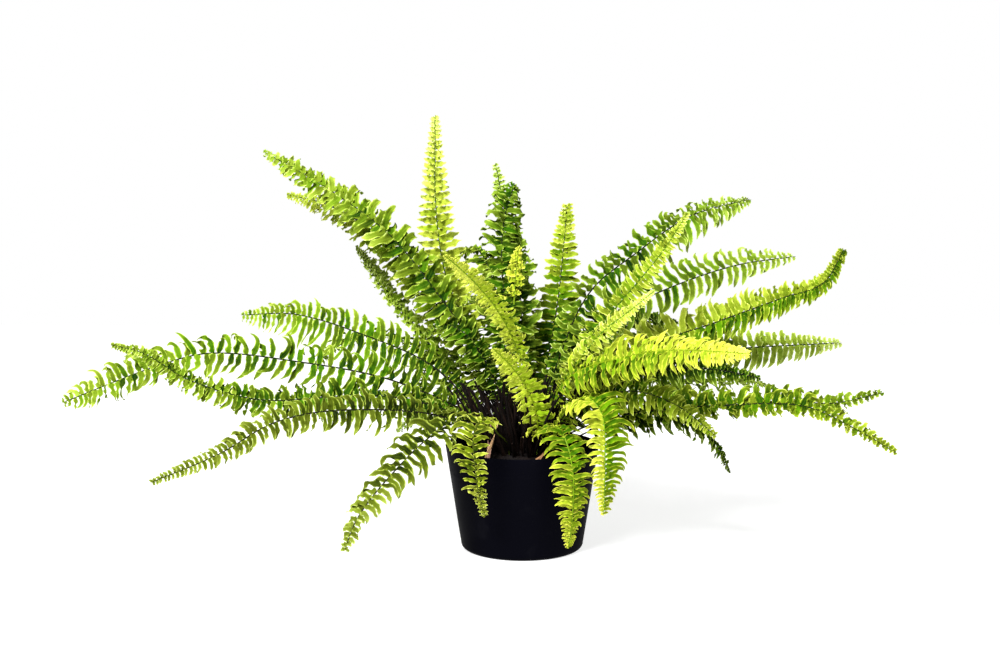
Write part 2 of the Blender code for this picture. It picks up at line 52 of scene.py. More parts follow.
class Wire:    # one shader socket, so that maths on it reads as plain Python
    def __init__(self, tree, socket=None):
        self.tree = tree
        self.socket = socket

    def node(self, kind, settings=None, values=None, out=0):
        made = self.tree.nodes.new(kind)
        for name, value in (settings or {}).items():
            setattr(made, name, value)
        for name, value in (values or {}).items():
            if isinstance(value, Wire):
                self.tree.links.new(value.socket, made.inputs[name])
            else:
                made.inputs[name].default_value = value
        return Wire(self.tree, made.outputs[out])

    def place(self):    # where a point is on the piece
        return self.node("ShaderNodeTexCoord", out="Object")

    def leafletMap(self):    # X along a leaflet and Y across it
        return self.node("ShaderNodeUVMap", {"uv_map": "leaflet"})

    def attribute(self, name):
        return self.node("ShaderNodeAttribute", {"attribute_name": name}, out="Fac")

    def axis(self, name):
        return self.node("ShaderNodeSeparateXYZ", None, {0: self}, name)

    def maths(self, operation, *values):
        return self.node("ShaderNodeMath", {"operation": operation}, dict(enumerate(values)))

    def sine(self):    # one full wave for each 1 that it rises
        return self.maths("SINE", self * math.tau)

    def mix(self, factor, first, second):
        return self.node("ShaderNodeMix", {"data_type": "RGBA"}, {0: factor, 6: first, 7: second}, 2)

    def clamped(self):
        return self.node("ShaderNodeClamp", None, {0: self})

    def between(self, low, high):    # 0 below low, 1 above high
        return self.node("ShaderNodeMapRange", {"interpolation_type": "SMOOTHSTEP"},
                         {"Value": self, "From Min": low, "From Max": high})

    def noise(self, scale, detail=3.0, roughness=0.5, stretch=None):
        where = self
        if stretch:
            where = self.node("ShaderNodeMapping", None, {"Vector": self, "Scale": stretch})
        return self.node("ShaderNodeTexNoise", None, {
            "Vector": where, "Scale": scale, "Detail": detail, "Roughness": roughness})

    def __add__(self, other):
        return self.maths("ADD", self, other)

    def __radd__(self, other):
        return self.maths("ADD", other, self)

    def __sub__(self, other):
        return self.maths("SUBTRACT", self, other)

    def __rsub__(self, other):
        return self.maths("SUBTRACT", other, self)

    def __mul__(self, other):
        return self.maths("MULTIPLY", self, other)

    def __rmul__(self, other):
        return self.maths("MULTIPLY", other, self)

    def __pow__(self, other):
        return self.maths("POWER", self, other)

    def __abs__(self):
        return self.maths("ABSOLUTE", self)


def newMaterial(name, fixed):    # fixed holds the sockets that are the same all over
    material = bpy.data.materials.new(name)
    material.use_nodes = True
    shader = material.node_tree.nodes["Principled BSDF"]
    for socket, value in fixed.items():
        shader.inputs[socket].default_value = value
    return material, shader, Wire(material.node_tree)


def plug(wire, shader, **sockets):
    names = {"colour": "Base Color", "roughness": "Roughness", "normal": "Normal"}
    for name, value in sockets.items():
        wire.tree.links.new(value.socket, shader.inputs[names[name]])


def bumped(height, strength, distance):
    return height.node("ShaderNodeBump", None, {"Height": height, "Strength": strength, "Distance": distance})


def placed(name, bm, materials=()):    # a bmesh becomes an object in the scene
    mesh = bpy.data.meshes.new(name)
    bm.to_mesh(mesh)
    bm.free()
    for material in materials:
        mesh.materials.append(material)
    made = bpy.data.objects.new(name, mesh)
    scene.collection.objects.link(made)
    return made


def applied(shape, *tools):    # a shape with its modifiers applied, as a bmesh; the objects are removed
    made = bpy.data.meshes.new_from_object(shape.evaluated_get(bpy.context.evaluated_depsgraph_get()))
    result = bmesh.new()
    result.from_mesh(made)
    spentMeshes = [made]
    for spent in (shape, *tools):
        spentMeshes.append(spent.data)
        bpy.data.objects.remove(spent)
    for mesh in spentMeshes:
        bpy.data.meshes.remove(mesh)
    return result


def finished(name, bm, materials, nodes, sharp=50):    # a bmesh becomes a piece for CAD nodes
    piece = placed(name, bm, materials)
    piece.data.shade_smooth()
    piece.data.set_sharp_from_angle(angle=math.radians(sharp))
    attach(piece, "root")
    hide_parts(*nodes)


def thickened(bm, name, materials, thickness):    # a thin sheet becomes a closed blade
    sheet = placed(name, bm, materials)
    solid = sheet.modifiers.new("Thickness", "SOLIDIFY")
    solid.thickness = thickness
    solid.offset = 0
    solid.material_offset = 1
    return applied(sheet)


def levelWay(angle):    # the level direction at an angle that turns from +X to +Y
    return Vector((math.cos(angle), math.sin(angle), 0))


def lumpiness(point, lumps):    # noise of several sizes, each given as (how fine, how strong)
    return sum(strong * noise.noise(point * fine) for fine, strong in lumps)


def frameAt(centre, across, along, size):    # a placing matrix whose Z is along and X is across
    other = along.cross(across).normalized()
    side = other.cross(along).normalized()
    turned = Matrix((side, other, along.normalized())).transposed().to_4x4()
    return Matrix.Translation(centre) @ turned @ Matrix.Diagonal((size, size, size, 1))


def tube(bm, places, sides, slot):    # a closed tube through placing matrices, each sized to its radius
    ring = bmesh.ops.create_circle(bm, segments=sides, radius=1, matrix=places[0])["verts"]
    edges = list({edge for vert in ring for edge in vert.link_edges})
    faces = bmesh.ops.contextual_create(bm, geom=edges)["faces"]
    for before, after in zip(places, places[1:]):
        grown = bmesh.ops.extrude_edge_only(bm, edges=edges)["geom"]
        faces += [part for part in grown if isinstance(part, bmesh.types.BMFace)]
        edges = [part for part in grown if isinstance(part, bmesh.types.BMEdge)
                 and len(part.link_faces) == 1]
        ring = list({vert for edge in edges for vert in edge.verts})
        bmesh.ops.transform(bm, matrix=after @ before.inverted(), verts=ring)
    faces += bmesh.ops.contextual_create(bm, geom=edges)["faces"]
    for face in faces:
        face.material_index = slot


# Camera, floor and light, in metres

view = dict(place=(-0.026, -1.96, 0.52), tilt=82.35, lens=61.2, sensor=36)
camera = bpy.data.objects.new("camera", bpy.data.cameras.new("camera"))
scene.collection.objects.link(camera)
camera.location = view["place"]
camera.rotation_euler = (math.radians(view["tilt"]), 0, 0)
camera.data.lens = view["lens"]
camera.data.sensor_width = view["sensor"]
bpy.context.scene.camera = camera

studio = dict(floorSize=2, floor=(0.4, 0.4, 0.4), glow=(0.95, 0.95, 0.95), floorGlow=0.78,
              sky=(1, 1, 1), skyPower=0.38, aim=(0, 0, 0.22),
              lamps=dict(key=dict(place=(-0.9, -1.4, 2.1), size=0.9, power=212),
                         front=dict(place=(1.2, -2.2, 0.9), size=1.2, power=34)))
scene.view_settings.view_transform = "Standard"
scene.world = bpy.data.worlds.new("studio")
scene.world.use_nodes = True
backdrop = scene.world.node_tree.nodes["Background"]
backdrop.inputs["Color"].default_value = (*studio["sky"], 1)
seen = Wire(scene.world.node_tree).node("ShaderNodeLightPath", out="Is Camera Ray")
power = seen * (1 - studio["skyPower"]) + studio["skyPower"]    # full where it is seen, less as a light
scene.world.node_tree.links.new(power.socket, backdrop.inputs["Strength"])
for name, light in studio["lamps"].items():
    lamp = bpy.data.objects.new(name, bpy.data.lights.new(name, "AREA"))
    lamp.data.size = light["size"]
    lamp.data.energy = light["power"]
    lamp.location = light["place"]
    lamp.rotation_euler = (Vector(studio["aim"]) - lamp.location).to_track_quat("-Z", "Y").to_euler()
    scene.collection.objects.link(lamp)
material = newMaterial("pale floor", {
    "Base Color": (*studio["floor"], 1), "Roughness": 0.9, "Emission Color": (*studio["glow"], 1),
    "Emission Strength": studio["floorGlow"]})[0]
bm = bmesh.new()
bmesh.ops.create_grid(bm, x_segments=1, y_segments=1, size=studio["floorSize"])
floor = placed("floor", bm, [material])
print("camera, floor and light set")


# Nursery pot, in millimetres. It stands on footRing, inside which the foot rises a little. cornerHold keeps
# the floor flat up to its rounded edge, and underLip is (in, down) from the rim to the last ring inside.

pot = dict(height=123, rim=90, foot=71, wall=1.6, floor=2.4, footRound=7, footRing=56, footBevel=2,
           underRise=0.5, wallRings=(90, 50), lipIn=0.7, lipOut=0.8, underLip=(0.2, 0.9),
           cornerRound=3.5, cornerHold=0.5, steps=144, sharp=38,
           holes=5, holeRadius=5, holeCircle=48, holeSides=24,
           colour=(0.0012, 0.0012, 0.0024, 1), dust=(0.008, 0.008, 0.010, 1))


def potRadius(height):    # the outside wall at a height
    return pot["foot"] + (pot["rim"] - pot["foot"]) * height / pot["height"]


def turned(profile, steps):    # spins (radius, height) pairs that start and end on the axis
    bm = bmesh.new()
    verts = [bm.verts.new((radius * mm, 0, height * mm)) for radius, height in profile]
    edges = [bm.edges.new(pair) for pair in zip(verts, verts[1:])]
    bmesh.ops.spin(bm, geom=verts + edges, cent=(0, 0, 0), axis=upright, angle=math.tau, steps=steps,
                   use_merge=True)
    bmesh.ops.remove_doubles(bm, verts=bm.verts, dist=mergeWithin)
    bmesh.ops.recalc_face_normals(bm, faces=bm.faces)
    return bm


def corner(middle, radius, start, end, steps):    # a rounded corner of a profile, angles in degrees
    angles = [math.radians(start + (end - start) * step / steps) for step in range(steps + 1)]
    return [(middle[0] + radius * math.cos(angle), middle[1] + radius * math.sin(angle)) for angle in angles]


def potPlastic():
    material, shader, wire = newMaterial("pot plastic", {"Specular IOR Level": 0.03, "IOR": 1.2})
    place = wire.place()
    grime = place.noise(26, 5, 0.6).between(0.56, 0.8)
    scuffs = place.noise(9, 4, 0.7, stretch=(1, 1, 7)).between(0.62, 0.72)
    low = 1 - place.axis("Z").between(0.0, 0.09)
    speckle = place.noise(420, 2)
    dust = (grime * 0.35 + scuffs * 0.18) * (0.35 + low * 0.65) + speckle.between(0.68, 0.78) * 0.25
    colour = wire.mix(dust.clamped(), pot["colour"], pot["dust"])
    grain = place.noise(900, 2)
    plug(wire, shader, colour=colour, roughness=0.42 + grime * 0.2 + scuffs * 0.12 + low * 0.05,
         normal=bumped(grain + place.noise(60, 2) * 2, 0.12, 0.0004))
    return material


def potWall():    # the turned shell, from the middle of its floor over the rim to the middle of its foot
    inner = pot["rim"] - pot["wall"]
    cornerAt = pot["foot"] - pot["wall"] - pot["cornerRound"]
    footAt = potRadius(pot["footRound"]) - pot["footRound"]
    return turned([
        (0, pot["floor"]),
        (cornerAt - pot["cornerHold"], pot["floor"]),
        *corner((cornerAt, pot["floor"] + pot["cornerRound"]), pot["cornerRound"], -90, 0, 5),
        (inner - pot["underLip"][0], pot["height"] - pot["underLip"][1]),
        *corner((inner + pot["lipIn"], pot["height"] - pot["lipIn"]), pot["lipIn"], 180, 90, 3),
        *corner((pot["rim"] - pot["lipOut"], pot["height"] - pot["lipOut"]), pot["lipOut"], 90, 0, 4),
        *[(potRadius(height), height) for height in pot["wallRings"]],
        *corner((footAt, pot["footRound"]), pot["footRound"], 0, -90, 6),
        (pot["footRing"], 0),
        (pot["footRing"] - pot["footBevel"], pot["underRise"]),
        (0, pot["underRise"])], pot["steps"])


def drainPegs():    # one upright peg for each drain hole
    bm = bmesh.new()
    for hole in range(pot["holes"]):
        turn = Matrix.Rotation(math.tau * hole / pot["holes"], 4, "Z")
        bmesh.ops.create_cone(bm, cap_ends=True, segments=pot["holeSides"], radius1=pot["holeRadius"] * mm,
                              radius2=pot["holeRadius"] * mm, depth=4 * pot["floor"] * mm,
                              matrix=turn @ Matrix.Translation((pot["holeCircle"] * mm, 0, 0)))
    return bm


def carved(bm, cutter):    # the shape with the cutter taken away
    whole = placed("whole", bm)
    pegs = placed("pegs", cutter)
    cut = whole.modifiers.new("Cut", "BOOLEAN")
    cut.operation = "DIFFERENCE"
    cut.object = pegs
    return applied(whole, pegs)


finished("nursery_pot", carved(potWall(), drainPegs()), [potPlastic()], ["pot"], pot["sharp"])
print("nursery pot made")


# Potting soil, in millimetres

soil = dict(top=107, rings=range(4, 80, 3), wallGap=0.5, edgeDrop=0.5, cornerGap=0.7, cornerRise=4,
            footIn=5, floorGap=0.4, steps=120, rough=2.2, sink=0.25, lumps=((70, 1), (210, 0.6), (520, 0.3)),
            crumbs=520, crumbSpread=(0.2, 1), crumbEdge=3, crumbSize=(0.8, 2.6), crumbFlat=(0.4, 0.8),
            crumbRough=0.35, crumbFine=900,
            dark=(0.002, 0.0014, 0.001, 1), pale=(0.014, 0.009, 0.005, 1), fibre=(0.05, 0.03, 0.015, 1),
            seed=4)


def soilMaterial():
    material, shader, wire = newMaterial("damp potting soil", {"Specular IOR Level": 0.25})
    place = wire.place()
    lumps = place.noise(160, 5, 0.65)
    fibres = place.noise(300, 3, 0.6, stretch=(1, 0.25, 1)).between(0.58, 0.72)
    patches = place.noise(28, 3)
    earth = wire.mix(lumps.between(0.3, 0.7), soil["dark"], soil["pale"])
    colour = wire.mix((fibres * 0.6 * patches).clamped(), earth, soil["fibre"])
    plug(wire, shader, colour=colour, roughness=0.75 + patches * 0.2,
         normal=bumped(lumps + fibres, 0.6, 0.0012))
    return material


wallAt = potRadius(soil["top"]) - pot["wall"] - soil["wallGap"]
low = pot["floor"] + soil["floorGap"]
cornerAt = low + soil["cornerRise"]
bm = turned([
    *[(radius, soil["top"]) for radius in (0, *soil["rings"])],
    (wallAt, soil["top"] - soil["edgeDrop"]),
    (potRadius(cornerAt) - pot["wall"] - soil["cornerGap"], cornerAt),
    (potRadius(low) - pot["wall"] - soil["footIn"], low),
    (0, low)], soil["steps"])
for vert in bm.verts:
    if vert.co.z > (soil["top"] - 1) * mm:
        vert.co.z += soil["rough"] * mm * (lumpiness(vert.co, soil["lumps"]) - soil["sink"])
draw = random.Random(soil["seed"])
for crumb in range(soil["crumbs"]):
    radius = (wallAt - soil["crumbEdge"]) * math.sqrt(draw.uniform(*soil["crumbSpread"])) * mm
    angle = draw.uniform(0, math.tau)
    size = draw.uniform(*soil["crumbSize"]) * mm * draw.uniform(0.5, 1)
    spot = levelWay(angle) * radius + upright * (soil["top"] * mm + size * 0.2)
    squash = Matrix.Diagonal((size, size * draw.uniform(0.5, 1), size * draw.uniform(*soil["crumbFlat"]), 1))
    spun = Matrix.Rotation(draw.uniform(0, math.tau), 4, Vector((draw.random(), draw.random(), 1)))
    lump = bmesh.ops.create_icosphere(bm, subdivisions=1, radius=1,
                                      matrix=Matrix.Translation(spot) @ spun @ squash)
    for vert in lump["verts"]:
        vert.co += (vert.co - spot) * soil["crumbRough"] * noise.noise(vert.co * soil["crumbFine"])
finished("potting_soil", bm, [soilMaterial()], ["soil"])
print("potting soil made")


# Crown: the clump of old stalk bases, in millimetres

# The bark is near-black: the stalk bases' own dark colour, deepened as painted shade of the crown's hollow.
crown = dict(radius=46, rise=19, gap=0.3, steps=(72, 36), rough=1.8, lumps=((95, 1), (260, 0.5)),
             stubs=380, stubSpread=40, stubSunk=3, stubHeight=(12, 74), stubRadius=(0.8, 1.6),
             stubRings=(0, 0.35, 0.7, 1), stubSides=6, flare=62, lean=0.25, bend=0.2, straighten=0.1,
             fibres=170, fibreSpread=(12, 50), fibreReach=(6, 16), fibreRise=(0.1, 0.9), fibreRadius=0.22,
             fibreRings=(0, 0.33, 0.66, 1), fibreSides=3, seed=11,
             bark=dict(dark=(0.001, 0.0006, 0.0006), pale=(0.008, 0.004, 0.003)),
             scales=dict(dark=(0.002, 0.001, 0.0008), pale=(0.016, 0.007, 0.004)))


def crownTop(radius):    # height over the pot's foot at a distance from the axis
    inside = max(0, 1 - (radius / crown["radius"]) ** 2)
    return soil["top"] + crown["gap"] + crown["rise"] * math.sqrt(inside)


def barkMaterial(name, dark, pale):
    material, shader, wire = newMaterial(name, {"Specular IOR Level": 0.08})
    place = wire.place()
    streaks = place.noise(260, 4, 0.6, stretch=(1, 1, 0.12))
    spots = place.noise(90, 3)
    colour = wire.mix((streaks * 0.8 + spots * 0.5 - 0.25).between(0.1, 0.9), (*dark, 1), (*pale, 1))
    plug(wire, shader, colour=colour, roughness=0.55 + spots * 0.35,
         normal=bumped(streaks + spots, 0.5, 0.0008))
    return material


def crownDome():    # the upper half of a flattened ball, roughened and set on the soil
    bm = bmesh.new()
    bmesh.ops.create_uvsphere(bm, u_segments=crown["steps"][0], v_segments=crown["steps"][1], radius=1)
    size = Vector((crown["radius"], crown["radius"], crown["rise"])) * mm
    bmesh.ops.scale(bm, vec=size, verts=bm.verts)
    halved = bmesh.ops.bisect_plane(bm, geom=bm.verts[:] + bm.edges[:] + bm.faces[:], dist=mergeWithin / 5,
                                    plane_co=(0, 0, 0), plane_no=(0, 0, -1), clear_outer=True)
    rim = [part for part in halved["geom_cut"] if isinstance(part, bmesh.types.BMEdge)]
    bmesh.ops.holes_fill(bm, edges=rim)
    for vert in bm.verts:
        if vert.co.z > 1 * mm:
            vert.co += vert.co.normalized() * crown["rough"] * mm * lumpiness(vert.co, crown["lumps"])
    bmesh.ops.translate(bm, vec=upright * (soil["top"] + crown["gap"]) * mm, verts=bm.verts)
    return bm


def astray(draw, most, rise=0):    # a small random step sideways
    return Vector((draw.uniform(-most, most), draw.uniform(-most, most), rise))


draw = random.Random(crown["seed"])
bm = crownDome()
for stub in range(crown["stubs"]):
    radius = crown["stubSpread"] * math.sqrt(draw.random())
    outward = levelWay(draw.uniform(0, math.tau))
    foot = outward * radius * mm + upright * (crownTop(radius) - crown["stubSunk"]) * mm
    lean = upright + outward * radius / crown["flare"] + astray(draw, crown["lean"])
    bend = astray(draw, crown["bend"], crown["straighten"])
    tall = draw.uniform(*crown["stubHeight"]) * mm
    thick = draw.uniform(*crown["stubRadius"]) * mm
    places = [frameAt(foot + (lean + bend * share) * tall * share, outward, lean + bend * 2 * share,
                      thick * (1.25 - 0.4 * share)) for share in crown["stubRings"]]
    tube(bm, places, crown["stubSides"], draw.choice((0, 0, 1)))
for fibre in range(crown["fibres"]):    # brown hairs and thin roots over the clump
    radius = draw.uniform(*crown["fibreSpread"])
    outward = levelWay(draw.uniform(0, math.tau))
    way = outward * 0.6 + upright.cross(outward) * draw.uniform(-1, 1)
    foot = outward * radius * mm + upright * (crownTop(radius) - 1) * mm
    reach = draw.uniform(*crown["fibreReach"]) * mm
    rise = draw.uniform(*crown["fibreRise"])
    curve = [foot + (way + upright * rise * (1.6 - 1.5 * share)) * reach * share
             for share in crown["fibreRings"]]
    ways = [after - before for before, after in zip([curve[0], *curve], [*curve[1:], curve[-1]])]
    places = [frameAt(point, upright, ahead, crown["fibreRadius"] * mm) for point, ahead in zip(curve, ways)]
    tube(bm, places, crown["fibreSides"], 1)
finished("stalk_base_clump", bm, [barkMaterial("stalk base bark", **crown["bark"]),
                                  barkMaterial("stalk base scales", **crown["scales"])],
         ["crown"])
print("crown made")


# Dry leaf scraps, in millimetres

dryLeaves = {
    "dry_leaf_tan": dict(foot=(-46, -42), tip=(-28, -37, 156), width=6, cup=0.5,
                         dark=(0.16, 0.07, 0.028), pale=(0.62, 0.4, 0.2)),
    "dry_leaf_brown": dict(foot=(12, -58), tip=(27, -52, 126), width=9, cup=0.8,
                           dark=(0.035, 0.014, 0.007), pale=(0.34, 0.17, 0.07)),
    "dry_leaf_pink": dict(foot=(-40, -32), tip=(-37, -27, 160), width=5, cup=0.35,
                          dark=(0.2, 0.085, 0.06), pale=(0.6, 0.36, 0.26)),
}
dryBlade = dict(rows=16, across=6, thick=0.5, lift=0.2, bow=2.5, ripple=0.18, ripples=9, narrowest=0.12)


def dryLeafMaterial(name, dark, pale):
    material, shader, wire = newMaterial(name, {"Specular IOR Level": 0.25})
    leaf = wire.leafletMap()
    fibres = leaf.noise(26, 3, 0.6, stretch=(0.12, 1.6, 1))
    blotches = wire.place().noise(130, 4, 0.6)
    edge = abs(leaf.axis("Y") - 0.5).between(0.34, 0.5)
    light = (fibres * 0.9 + edge * 0.45 + blotches * 0.7 - 0.55).clamped()
    plug(wire, shader, colour=wire.mix(light, (*dark, 1), (*pale, 1)), roughness=0.6 + blotches * 0.3,
         normal=bumped(fibres + blotches * 0.5, 0.5, 0.0006))
    return material


for name, leaf in dryLeaves.items():
    start = Vector((*leaf["foot"], soil["top"] + dryBlade["lift"])) * mm
    end = Vector(leaf["tip"]) * mm
    across = (end - start).cross(upright).normalized()
    outward = (end - start).cross(across).normalized()
    bm = bmesh.new()
    bm.loops.layers.uv.new("leaflet")
    sheet = bmesh.ops.create_grid(bm, x_segments=dryBlade["rows"], y_segments=dryBlade["across"], size=1,
                                  calc_uvs=True)
    for vert in sheet["verts"]:
        share = (vert.co.x + 1) / 2
        side = vert.co.y
        half = leaf["width"] * mm / 2 * max(dryBlade["narrowest"], math.sin(math.pi * (0.2 + 0.78 * share)))
        ripple = dryBlade["ripple"] * math.sin(dryBlade["ripples"] * share + 2 * side)
        lift = dryBlade["bow"] * mm * math.sin(math.pi * share) - (leaf["cup"] * side * side + ripple) * half
        vert.co = start.lerp(end, share) + across * half * side + outward * lift
    material = dryLeafMaterial(name.replace("_", " "), leaf["dark"], leaf["pale"])
    bm = thickened(bm, name + "_blade", [material], dryBlade["thick"] * mm)
    finished(name + "_scrap", bm, [material], [name])
print("dry leaf scraps made")


# Leaf materials: deep shade, full leaf, young leaf (also painted light on edges and tips), pale painted
# highlight and midrib of each tone

tones = {
    "young": dict(deep=(0.014, 0.060, 0.001), full=(0.088, 0.195, 0.002), fresh=(0.43, 0.465, 0.02),
                  pale=(0.62, 0.62, 0.13), rib=(0.12, 0.16, 0.002)),
    "light": dict(deep=(0.005, 0.028, 0.001), full=(0.042, 0.118, 0.001), fresh=(0.41, 0.48, 0.018),
                  pale=(0.62, 0.68, 0.28), rib=(0.004, 0.003, 0.001)),
    "green": dict(deep=(0.0025, 0.016, 0.001), full=(0.024, 0.086, 0.001), fresh=(0.32, 0.43, 0.015),
                  pale=(0.63, 0.72, 0.32), rib=(0.002, 0.0012, 0.0006)),
    "dark": dict(deep=(0.0015, 0.011, 0.001), full=(0.017, 0.070, 0.001), fresh=(0.28, 0.40, 0.015),
                 pale=(0.60, 0.70, 0.32), rib=(0.002, 0.0012, 0.0006)),
    "olive": dict(deep=(0.003, 0.007, 0.001), full=(0.021, 0.037, 0.001), fresh=(0.25, 0.32, 0.015),
                  pale=(0.56, 0.62, 0.30), rib=(0.002, 0.0012, 0.0006)),
    "mellow": dict(deep=(0.007, 0.018, 0.001), full=(0.075, 0.115, 0.002), fresh=(0.44, 0.49, 0.03),
                   pale=(0.68, 0.74, 0.30), rib=(0.02, 0.024, 0.002)),
}
# edge is where the painted light along a leaflet's margins begins
leafPattern = dict(mottle=150, patches=22, veins=11, veinSlant=1.4, ribWidth=(0.05, 0.2), edge=0.45,
                   underMatt=0.15)


def leafMaterial(name, tone, under):
    material, shader, wire = newMaterial(name, {"Specular IOR Level": 0.006})
    place = wire.place()
    along = wire.leafletMap().axis("X")
    fromRib = abs(wire.leafletMap().axis("Y") - 0.5) * 2
    mottle = place.noise(leafPattern["mottle"], 3, 0.55)
    patches = place.noise(leafPattern["patches"], 2)
    veins = (along * leafPattern["veins"] - fromRib * leafPattern["veinSlant"]).sine()
    rib = 1 - fromRib.between(*leafPattern["ribWidth"])
    # body goes from deep to full: the shade attribute paints light and shade, and a leaflet is lighter
    # towards its tip
    body = (0.32 + wire.attribute("shade") * 0.55 + along * 0.15 + (mottle - 0.5) * 1.4
            + (patches - 0.5) * 0.6 + veins * 0.06).clamped()
    leaf = wire.mix(body, (*tone["deep"], 1), (*tone["full"], 1))
    # painted light along the leaflet's margins, in patches
    paintedEdgeLight = fromRib.between(leafPattern["edge"], 1) * (mottle * 3 - 1.1).clamped() * 0.8
    # young leaf colour from youth, plus painted light on the margins and towards each tip
    youthAndPaintedLight = (wire.attribute("youth") * (patches + 0.5) + paintedEdgeLight + along ** 3 * 0.4
                 + rib * 0.03).clamped()
    leaf = wire.mix(youthAndPaintedLight, leaf, (*tone["fresh"], 1))
    # pale is a painted highlight where a leaflet is brightest
    leaf = wire.mix(youthAndPaintedLight ** 3 * 0.6, leaf, (*tone["pale"], 1))
    if under:
        matt = Vector(tone["full"]).lerp(Vector(tone["fresh"]), leafPattern["underMatt"])
        leaf = wire.mix(0.3 + mottle * 0.2, leaf, (*matt, 1))
    height = veins * 0.35 + mottle * 0.5 + (rib if under else 1 - rib) * 0.9
    plug(wire, shader, colour=leaf, roughness=(0.62 if under else 0.4) + mottle * 0.16,
         normal=bumped(height, 0.45, 0.00035))
    return material


def ribMaterial(name, old, young):
    material, shader, wire = newMaterial(name, {"Specular IOR Level": 0.08})
    scales = wire.place().noise(700, 3, 0.6)
    age = (wire.attribute("youth") * 1.1 + (scales - 0.5) * 0.5).clamped()
    plug(wire, shader, colour=wire.mix(age, (*old, 1), (*young, 1)), roughness=0.42 + scales * 0.3,
         normal=bumped(scales, 0.5, 0.0004))
    return material


leafMaterials = {
    tone: [leafMaterial("leaf " + tone, colours, False),
           leafMaterial("leaf underside " + tone, colours, True),
           ribMaterial("midrib " + tone, colours["rib"], colours["full"])]
    for tone, colours in tones.items()}
print("leaf materials made")


# Fronds, in millimetres and degrees. heading turns from +X to +Y, root is the stalk's distance from the
# pot's axis, route is (reach, height) from the axis and foot, and sweep takes the tip sideways. leaf is the
# longest leaflet, broad its width, pitch the step from one to the next, and bare the share of the route
# without any. roll and twist turn the blade on its midrib. base and sickle bend a leaflet along the blade,
# droop, curl and gravity bend it down. halves, lean, turn and lit go to the left and right leaflets: their
# length, how far they lean to the frond's tip, how much of sickle bends their ends that way, and added
# youth as painted light on one side. taper is high where leaflets stay long to near the tip, blunt is where
# a leaflet starts to narrow, fold and ruffle shape it crosswise over so many rows of faces across, and mess
# says how unlike its neighbours it is. youth is yellow, and tip adds more of it towards the end. look is a
# tone that only colours, green a young stalk, and shade is painted light (above 0) and painted shade
# (below 0) on a frond's leaves.

frondDefaults = dict(leaf=38, halves=(1, 1), bare=0.28, sweep=0, roll=0, twist=0, droop=22, taper=2.6,
                     pitch=6.8, broad=6.6, blunt=0.5, base=-8, sickle=75, lean=(0, 0), turn=(1, 1),
                     curl=20, gravity=0.4, ruffle=0.6, fold=0.22, mess=1.5, youth=0, tip=0.35, lit=(0, 0),
                     green=0, shade=0, look=None, across=2)

